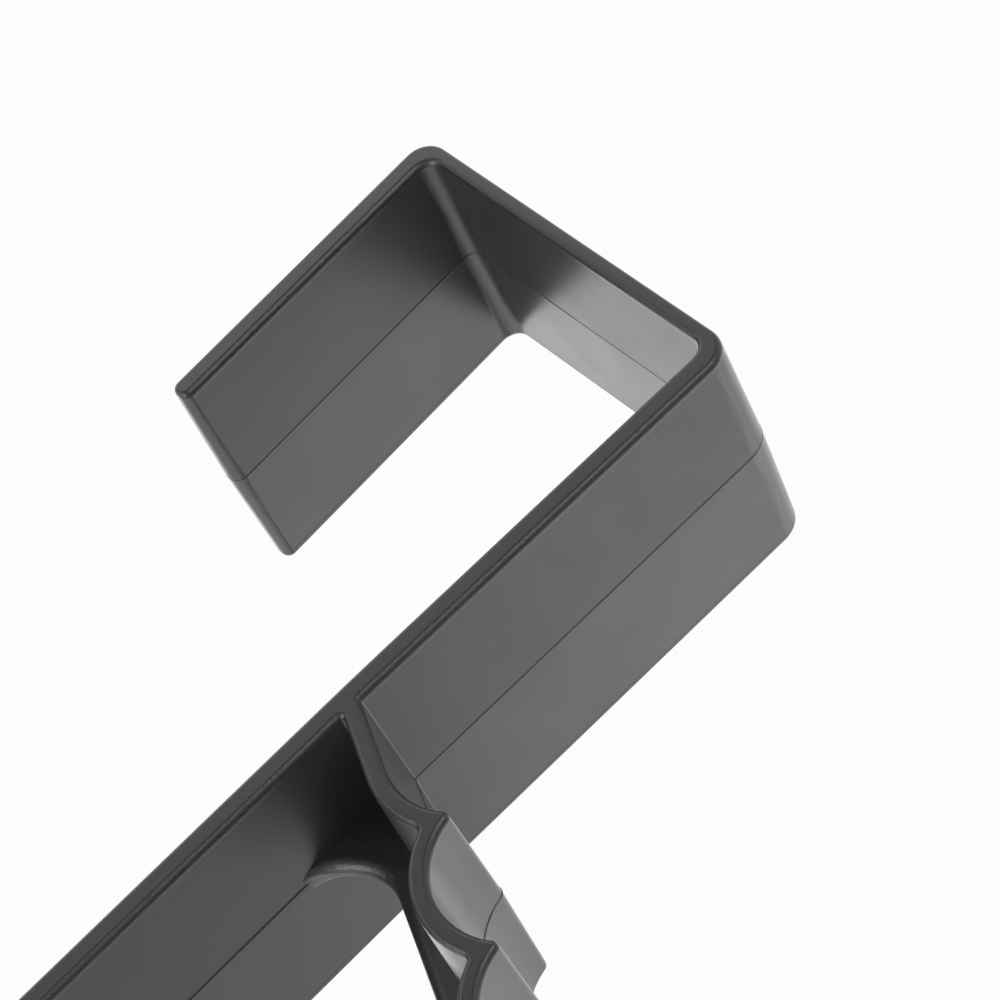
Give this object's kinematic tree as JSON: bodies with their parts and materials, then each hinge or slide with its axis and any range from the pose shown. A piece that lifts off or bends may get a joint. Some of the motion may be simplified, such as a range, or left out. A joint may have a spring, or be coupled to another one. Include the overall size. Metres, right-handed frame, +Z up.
{
  "type": "over-door hook",
  "caption": "Over-door hook moulded in one piece: a square clip straps over the top of a door, and a wavy sloping arm with round seats and a web below holds clothes hangers.",
  "frame": {"origin": "under the bridge of the clip where it sits on the door's top edge, at mid width and half way through the door", "axes": "+Z up, the hanger arm points to -Y and the leg behind the door is at +Y, X along the door's top edge"},
  "size_m": [0.0316, 0.126, 0.1074],
  "materials": {
    "plastic": "satin black with a fine moulded grain"
  },
  "bodies": {
    "root": {"hook": "plastic"}
  },
  "joints": []
}
